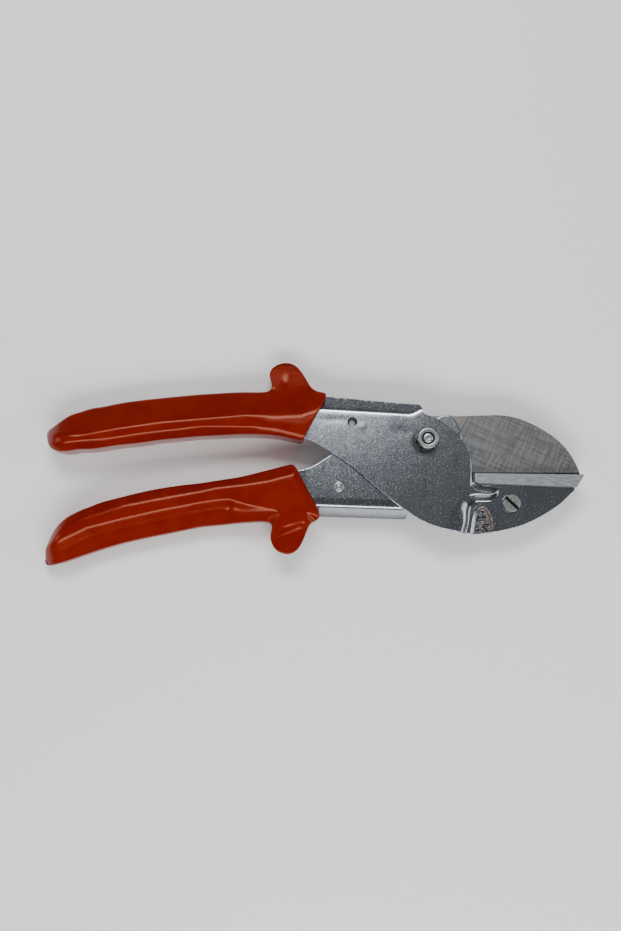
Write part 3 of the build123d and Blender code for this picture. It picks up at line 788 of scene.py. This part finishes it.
def hexagon_nut(name, low, count=96):
    """The pivot's nut, with a turned chamfer on its corners, a flat rim and a countersunk bore."""
    flat = NUT_ACROSS / 2
    angles = np.linspace(0, 2 * math.pi, count, endpoint=False)
    within = (angles - math.radians(NUT_TURN)) % (math.pi / 3) - math.pi / 6
    side = np.minimum(flat / np.cos(within), flat * 1.13)
    land = flat * 0.95
    high = low + NUT_HEIGHT
    edge = high - 0.14 - (side - land) * 0.62
    profile = [(side - 0.15, low), (side, low + 0.15), (side, edge - 0.1), (side - 0.08, edge),
               (land + 0.15, high - 0.14), (land, high - 0.03), (land - 0.18, high),
               (NUT_BORE + 0.35, high), (NUT_BORE + 0.2, high - 0.08), (NUT_BORE + 0.05, high - 0.5),
               (NUT_BORE, high - 1.6)]
    return ring_mesh(name, [level_ring((0, 0), radius, z, count) for radius, z in profile])


def cut_slot(obj, centre, width, depth, turn):
    """Cuts a straight screwdriver slot across the end of a turned part."""
    bpy.ops.mesh.primitive_cube_add(size=MM, location=place(centre), rotation=(0, 0, math.radians(turn)))
    cutter = bpy.context.object
    cutter.scale = (20, width, 2 * depth)
    slot = obj.modifiers.new("slot", "BOOLEAN")
    slot.object = cutter
    slot.solver = "EXACT"
    mesh = bpy.data.meshes.new_from_object(obj.evaluated_get(bpy.context.evaluated_depsgraph_get()))
    obj.modifiers.clear()
    obj.data = mesh
    bpy.data.objects.remove(cutter)


# radius and z of the turned parts, up the outside and in over the top
BOLT_PROFILE = [(3.6, -8.7), (4.5, -8.5), (5.0, -7.9), (5.0, -6.8), (2.2, -6.8), (2.2, 8.0),
                (1.95, 9.0), (1.85, 9.6), (1.6, 9.85), (0.9, 9.85), (0.6, 9.75), (0, 9.75)]
RIVET_PROFILE = [(2.3, -1.3), (2.75, -1.1), (2.8, -0.7), (2.6, -0.4), (1.5, -0.4), (1.5, 3.5),
                 (1.95, 3.5), (2.0, 3.65), (1.9, 3.85), (1.7, 3.98), (1.45, 4.02), (1.22, 3.98),
                 (1.1, 3.8), (0.95, 3.8), (0.85, 3.95), (0.6, 4.05), (0.0, 4.1)]


def nut_shade(x, y):
    """Painted shade in the countersink and on the corners."""
    radius = np.hypot(x, y)
    return ramp(radius, 2.7, 2.5) + ramp(radius, 3.8, 4.1)


def bolt_shade_and_stain(x, y):
    """Painted shade round the thread near its end, and a stain on the end."""
    radius = np.hypot(x, y)
    return ramp(radius, 1.85, 1.98) * ramp(radius, 2.3, 2.2) + 0.7 * bell(x, y, -0.3, -0.1, 0.6, 0.45)


def rivet_groove_shade(x, y):
    """Painted shade in the groove of the rolled head."""
    return hump(np.hypot(x - RIVET[0], y - RIVET[1]) - 1.08, 0.2)


def build_fasteners():
    """The pivot's nut and bolt and the latch's rivet, with their turned detail."""
    nut = hexagon_nut("pivot_nut_body", UPPER_FRONT)
    bolt = lathe("pivot_bolt_body", BOLT_PROFILE)
    cut_slot(bolt, (0, 0, BOLT_PROFILE[0][1]), BOLT_SLOT_WIDTH, BOLT_SLOT_DEPTH, BOLT_SLOT_TURN)
    rivet = lathe("latch_rivet_body", RIVET_PROFILE, RIVET)
    parts = ((nut, UPPER, "pivot_nut", nut_shade), (bolt, UPPER, "pivot_bolt", bolt_shade_and_stain),
             (rivet, LOWER, "latch_rivet", rivet_groove_shade))
    for obj, body, node, shade_and_stain_mask in parts:
        # each part's painted shade, with the bolt's stain, kept for the material
        store(obj, "shade_and_stain", shade_and_stain_mask)
        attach(obj, body)
        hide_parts(node)
    return nut, bolt, rivet


def build_spring():
    """The opening spring's wire."""
    node = frame["nodes"]["opening_spring"]
    mesh = node.data.copy()
    mesh.transform(node.matrix_world)
    wire = bpy.data.objects.new("opening_spring_wire", mesh)
    bpy.context.scene.collection.objects.link(wire)
    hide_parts("opening_spring")
    place((0, -4.3, -3))
    place((0, 5.3, -3))
    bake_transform(wire)
    return wire


# ---------------------------------------------------------------- materials

class Nodes:
    """A material with its Principled shader and short calls for the nodes that feed it."""

    def __init__(self, name, color, metallic, roughness, **sockets):
        self.material = bpy.data.materials.new(name)
        self.material.use_nodes = True
        self.tree = self.material.node_tree
        self.shader = self.tree.nodes["Principled BSDF"]
        self.shader.inputs["Base Color"].default_value = (*color, 1)
        self.shader.inputs["Metallic"].default_value = metallic
        self.shader.inputs["Roughness"].default_value = roughness
        for socket, value in sockets.items():
            self.shader.inputs[socket.replace("_", " ")].default_value = value
        self.coords = self.tree.nodes.new("ShaderNodeTexCoord").outputs["Object"]

    def node(self, kind, inputs=None, **settings):
        """A node with its inputs linked or set."""
        node = self.tree.nodes.new(kind)
        for key, value in settings.items():
            setattr(node, key, value)
        for key, value in (inputs or {}).items():
            if hasattr(value, "is_output"):
                self.tree.links.new(value, node.inputs[key])
            else:
                node.inputs[key].default_value = value
        return node

    def placed(self, turn=0.0, stretch=(1, 1, 1)):
        """Object coordinates in millimetres, turned about Z and stretched."""
        scale = tuple(s / MM for s in stretch)
        turned = self.node("ShaderNodeVectorRotate", {"Vector": self.coords, "Angle": math.radians(turn)},
                           rotation_type="Z_AXIS")
        return self.vector("MULTIPLY", {0: turned.outputs[0], 1: scale})

    def noise(self, size, detail, rough, turn=0.0, stretch=(1, 1, 1)):
        """Noise whose features are about size millimetres across."""
        inputs = {"Vector": self.placed(turn, stretch), "Scale": 1 / size, "Detail": detail,
                  "Roughness": rough}
        return self.node("ShaderNodeTexNoise", inputs).outputs["Fac"]

    def spread(self, value, low, high, to_low=0.0, to_high=1.0):
        """The range low to high taken smoothly to another range, and held at its ends."""
        inputs = {"Value": value, "From Min": low, "From Max": high, "To Min": to_low, "To Max": to_high}
        return self.node("ShaderNodeMapRange", inputs, interpolation_type="SMOOTHSTEP").outputs["Result"]

    def attribute(self, name):
        """A value kept on the mesh by store()."""
        return self.node("ShaderNodeAttribute", attribute_name=name).outputs["Fac"]

    def from_pivot(self):
        """Object coordinates from the middle of the pivot, in millimetres."""
        shifted = self.vector("SUBTRACT", {0: self.coords, 1: tuple(PIVOT)})
        scaled = self.vector("SCALE", {0: shifted, "Scale": 1 / MM})
        return self.node("ShaderNodeSeparateXYZ", {0: scaled}).outputs

    def vector(self, operation, inputs):
        return self.node("ShaderNodeVectorMath", inputs, operation=operation).outputs[0]

    def math(self, operation, a, b=0.0):
        return self.node("ShaderNodeMath", {0: a, 1: b}, operation=operation).outputs[0]

    def most(self, first, *others):
        """The largest of some values."""
        for other in others:
            first = self.math("MAXIMUM", first, other)
        return first

    def mix(self, factor, first, second):
        """From the first colour to the second."""
        mix = self.node("ShaderNodeMix", data_type="RGBA")
        for key, value in ((0, factor), (6, first), (7, second)):
            if hasattr(value, "is_output"):
                self.tree.links.new(value, mix.inputs[key])
            else:
                mix.inputs[key].default_value = value if key == 0 else (*value, 1)
        return mix.outputs[2]

    def bump(self, height, depth, normal=None):
        """Bump whose full range is depth millimetres."""
        inputs = {"Height": height, "Distance": depth * MM, "Strength": 1.0}
        if normal is not None:
            inputs["Normal"] = normal
        return self.node("ShaderNodeBump", inputs).outputs[0]

    def cells(self, size, tilt):
        """Normal turned a little differently in each crystal of a coating."""
        voronoi = self.node("ShaderNodeTexVoronoi", {"Vector": self.placed(), "Scale": 1 / size})
        centred = self.vector("SUBTRACT", {0: voronoi.outputs["Color"], 1: (0.5, 0.5, 0.5)})
        scaled = self.vector("SCALE", {0: centred, "Scale": tilt})
        normal = self.node("ShaderNodeNewGeometry").outputs["Normal"]
        return self.vector("NORMALIZE", {0: self.vector("ADD", {0: normal, 1: scaled})})

    def set(self, socket, value):
        """Links a value to a socket of the shader."""
        self.tree.links.new(value, self.shader.inputs[socket])


def zinc_steel():
    """Plated plates: dark and light mottle with bright specks, painted shade and painted shadows, and rust.
    """
    m = Nodes("zinc_steel", (0.5, 0.53, 0.58), 1.0, 0.3)
    blotch = m.spread(m.noise(9.0, 4.0, 0.6), 0.35, 0.65)
    grain = m.noise(0.35, 3.0, 0.65)
    mottle = m.spread(m.noise(0.7, 4.0, 0.7), 0.36, 0.64)
    dense = m.math("MULTIPLY", m.noise(7.0, 2.0, 0.5), 0.12)
    speck = m.spread(m.math("ADD", m.noise(0.62, 3.0, 0.65), dense), 0.61, 0.74)
    crust = m.noise(0.9, 4.0, 0.65)
    spots = m.math("ADD", m.math("MULTIPLY", m.attribute("rust"), 0.6), m.math("MULTIPLY", crust, 0.9))
    rusty = m.spread(spots, 0.80, 1.02)

    dark = m.mix(blotch, (0.34, 0.37, 0.415), (0.30, 0.325, 0.37))
    light = m.mix(blotch, (0.46, 0.49, 0.54), (0.42, 0.45, 0.50))
    plated = m.mix(speck, m.mix(mottle, dark, light), (0.66, 0.69, 0.74))
    # painted shade and painted shadows darken the plating
    shaded = m.mix(m.attribute("shade_and_stain"), plated, (0.06, 0.05, 0.045))
    brown = m.mix(m.spread(crust, 0.4, 0.6), (0.025, 0.010, 0.005), (0.13, 0.075, 0.042))
    m.set("Base Color", m.mix(rusty, shaded, brown))
    m.set("Metallic", m.spread(rusty, 0.0, 1.0, 1.0, 0.1))
    spotted = m.math("ADD", m.spread(grain, 0.3, 0.7, 0.15, 0.25), m.math("MULTIPLY", speck, 0.06))
    m.set("Roughness", m.math("ADD", spotted, m.math("MULTIPLY", rusty, 0.5)))
    fine = m.bump(grain, 0.006, m.cells(0.8, 0.016))
    m.set("Normal", m.bump(m.math("MULTIPLY", crust, rusty), 0.14, fine))
    return m.material


def grip_pvc():
    """Dipped red plastic, a little uneven."""
    m = Nodes("grip_pvc", (0.2, 0.004, 0.0005), 0.0, 0.2, Specular_IOR_Level=0.45,
              Specular_Tint=(1.0, 0.48, 0.32, 1.0))
    uneven = m.noise(9.0, 2.0, 0.5)
    fine = m.noise(0.8, 3.0, 0.6)
    red = m.mix(m.spread(uneven, 0.35, 0.65), (0.165, 0.0035, 0.0002), (0.19, 0.0055, 0.0003))
    m.set("Base Color", red)
    m.set("Roughness", m.spread(fine, 0.3, 0.7, 0.16, 0.26))
    m.set("Normal", m.bump(fine, 0.006, m.bump(uneven, 0.10)))
    return m.material


def ground_steel():
    """Blade steel: crossing grinding lines right of a slanting line, a plain face left of it, and a painted
    shadow along the cutting edge.
    """
    m = Nodes("blade_steel", (0.4, 0.4, 0.4), 1.0, 0.42)
    x, y, _ = m.from_pivot()
    past_line = m.math("SUBTRACT", m.math("SUBTRACT", x, m.math("MULTIPLY", y, 0.58)), 11.6)
    ground = m.spread(past_line, -0.1, 0.1)
    steep = m.noise(0.55, 3.0, 0.65, -66, (0.05, 1, 1))
    flat = m.noise(0.7, 3.0, 0.65, 22, (0.04, 1, 1))
    lines = m.math("ADD", m.math("MULTIPLY", steep, 0.55), m.math("MULTIPLY", flat, 0.45))
    scratched = m.mix(m.spread(lines, 0.40, 0.60), (0.235, 0.24, 0.25), (0.305, 0.31, 0.317))
    face = m.mix(ground, (0.285, 0.28, 0.27), scratched)
    # painted shadow along the cutting edge, where it meets the anvil
    edge_shadow = m.spread(y, -12.1, -13.0)
    m.set("Base Color", m.mix(edge_shadow, face, (0.015, 0.015, 0.015)))
    m.set("Roughness", m.spread(lines, 0.3, 0.7, 0.36, 0.50))
    m.set("Normal", m.bump(lines, 0.018))
    return m.material


def soft_alloy():
    """The anvil's pale metal, drawn along its length."""
    m = Nodes("anvil_alloy", (0.55, 0.58, 0.60), 1.0, 0.42)
    grain = m.noise(0.45, 4.0, 0.65, 2, (0.12, 1, 1))
    m.set("Base Color", m.mix(m.spread(grain, 0.35, 0.65), (0.44, 0.475, 0.505), (0.50, 0.535, 0.565)))
    m.set("Roughness", m.spread(grain, 0.3, 0.7, 0.36, 0.50))
    m.set("Normal", m.bump(grain, 0.015))
    return m.material


def fastener_zinc():
    """Plated fasteners, with stains, painted shade in their grooves, corners and the screw's slot, and
    corrosion on the face of the anvil's screw.
    """
    m = Nodes("fastener_zinc", (0.50, 0.52, 0.55), 1.0, 0.3)
    stain = m.spread(m.noise(1.8, 4.0, 0.65), 0.58, 0.75)
    grain = m.noise(0.35, 3.0, 0.6)
    x, y, z = m.from_pivot()
    across = m.math("SUBTRACT", x, ANVIL_SCREW[0])
    up = m.math("SUBTRACT", y, ANVIL_SCREW[1])
    squared = m.math("ADD", m.math("MULTIPLY", across, across), m.math("MULTIPLY", up, up))
    from_axis = m.math("SQRT", squared)
    in_head = m.spread(z, 3.3, 3.6)
    spots = m.spread(m.noise(0.8, 4.0, 0.7), 0.42, 0.60)
    on_face = m.math("MULTIPLY", m.spread(from_axis, 2.9, 2.3), spots)
    # painted shade in the slot of the anvil's screw
    in_slot = m.math("MULTIPLY", m.spread(from_axis, 3.6, 3.4), m.spread(z, 4.95, 4.75))
    corrosion_and_slot_shade = m.math("MULTIPLY", m.most(on_face, in_slot), in_head)
    shade_and_stain_mask = m.most(m.attribute("shade_and_stain"), m.math("MULTIPLY", in_slot, in_head))
    clean = m.mix(stain, (0.50, 0.52, 0.54), (0.20, 0.17, 0.14))
    patchy = m.mix(corrosion_and_slot_shade, clean, (0.12, 0.12, 0.09))
    m.set("Base Color", m.mix(shade_and_stain_mask, patchy, (0.022, 0.02, 0.018)))
    m.set("Roughness", m.spread(grain, 0.3, 0.7, 0.26, 0.42))
    m.set("Metallic", m.spread(m.most(stain, corrosion_and_slot_shade, shade_and_stain_mask), 0.0, 1.0, 1.0, 0.3))
    m.set("Normal", m.bump(grain, 0.02))
    return m.material


def plain_steel(name, color, roughness):
    m = Nodes(name, color, 1.0, roughness)
    grain = m.noise(0.5, 4.0, 0.6)
    m.set("Roughness", m.spread(grain, 0.3, 0.7, roughness - 0.06, roughness + 0.08))
    m.set("Normal", m.bump(grain, 0.01))
    return m.material


def rounded(obj, width):
    """Rounds the edges of a CAD node with a modifier."""
    bevel = obj.modifiers.new("edges", "BEVEL")
    bevel.width = width * MM
    bevel.segments = 2
    bevel.limit_method = "ANGLE"
    bevel.angle_limit = math.radians(35)
    bevel.harden_normals = True


# the CAD nodes that show, under the look that they get
NODE_LOOKS = {
    "blade_steel": ["blade"],
    "anvil_alloy": ["anvil"],
    "fastener_zinc": ["anvil_screw", "anvil_lock_washer", "anvil_nut", "pivot_washer",
                      "pivot_spring_washer", "latch_washer", "blade_screws", "blade_nuts"],
    "bush_steel": ["pivot_bush"],
    "latch_steel": ["latch"],
}


def dress(obj, look):
    obj.data.materials.clear()
    obj.data.materials.append(look)


def add_looks(plates, grips, fasteners, spring):
    looks = {
        "zinc_steel": zinc_steel(),
        "grip_pvc": grip_pvc(),
        "blade_steel": ground_steel(),
        "anvil_alloy": soft_alloy(),
        "fastener_zinc": fastener_zinc(),
        "bush_steel": plain_steel("bush_steel", (0.45, 0.45, 0.46), 0.3),
        "latch_steel": plain_steel("latch_steel", (0.42, 0.44, 0.47), 0.35),
        "spring_wire": plain_steel("spring_wire", (0.30, 0.30, 0.32), 0.3),
    }
    for look, names in NODE_LOOKS.items():
        for name in names:
            node = frame["nodes"][name]
            dress(node, looks[look])
            if name != "blade":
                rounded(node, 0.12)
    pieces = {"zinc_steel": plates, "grip_pvc": grips, "fastener_zinc": fasteners, "spring_wire": [spring]}
    for look, group in pieces.items():
        for piece in group:
            dress(piece, looks[look])


# ---------------------------------------------------------------- camera, floor and light

CAMERA_AT = (-57.78, -51.25, 395.0)
CAMERA_AIM = (-45.73, -9.97, 0.0)
LENS = 38.67
FILM = 36.0
FLOOR_SIZE = 3.0
FLOOR_DROP = 0.0002
AMBIENT = 0.11
TOOL = (-40, -8, 0)
# name, place, target, width, height and power of each softbox
SOFTBOXES = [
    ("behind", (-110, 450, 600), TOOL, 480, 240, 4.0),
    ("front", (-20, -540, 450), TOOL, 760, 240, 4.8),
    ("left", (-800, 0, 360), TOOL, 400, 300, 0.9),
    ("right", (720, 0, 290), TOOL, 700, 400, 1.9),
    ("overhead", (0, 262, 900), (0, 262, 0), 150, 230, 0.34),
]


def aimed(obj, at, target):
    """Puts a camera or a light at a point, looking at the target, with +Y upwards in its view."""
    back = (place(at) - place(target)).normalized()
    right = Vector((0, 1, 0)).cross(back).normalized()
    up = back.cross(right)
    turn = Matrix((right, up, back)).transposed()
    obj.matrix_world = Matrix.Translation(place(at)) @ turn.to_4x4()


def add_camera():
    data = bpy.data.cameras.new("camera")
    data.lens = LENS
    data.sensor_width = FILM
    data.clip_start = 0.01
    camera = bpy.data.objects.new("camera", data)
    bpy.context.scene.collection.objects.link(camera)
    aimed(camera, CAMERA_AT, CAMERA_AIM)
    bpy.context.scene.camera = camera


def softbox(name, at, target, width, height, power):
    data = bpy.data.lights.new(name, "AREA")
    data.shape = "RECTANGLE"
    data.size = width * MM
    data.size_y = height * MM
    data.energy = power
    light = bpy.data.objects.new(name, data)
    bpy.context.scene.collection.objects.link(light)
    aimed(light, at, target)


def add_floor():
    bpy.ops.mesh.primitive_plane_add(size=FLOOR_SIZE, location=(PIVOT[0], PIVOT[1], -FLOOR_DROP))
    floor = bpy.context.object
    floor.name = "floor"
    dress(floor, Nodes("floor", (0.95, 0.95, 0.95), 0.0, 0.9).material)


def add_light():
    world = bpy.data.worlds.new("studio")
    bpy.context.scene.world = world
    world.use_nodes = True
    background = world.node_tree.nodes["Background"]
    background.inputs["Color"].default_value = (1, 1, 1, 1)
    background.inputs["Strength"].default_value = AMBIENT
    for light in SOFTBOXES:
        softbox(*light)


add_camera()
add_floor()
add_light()
plates = build_plates()
grips = build_grips()
fasteners = build_fasteners()
spring = build_spring()
add_looks(plates, grips, fasteners, spring)
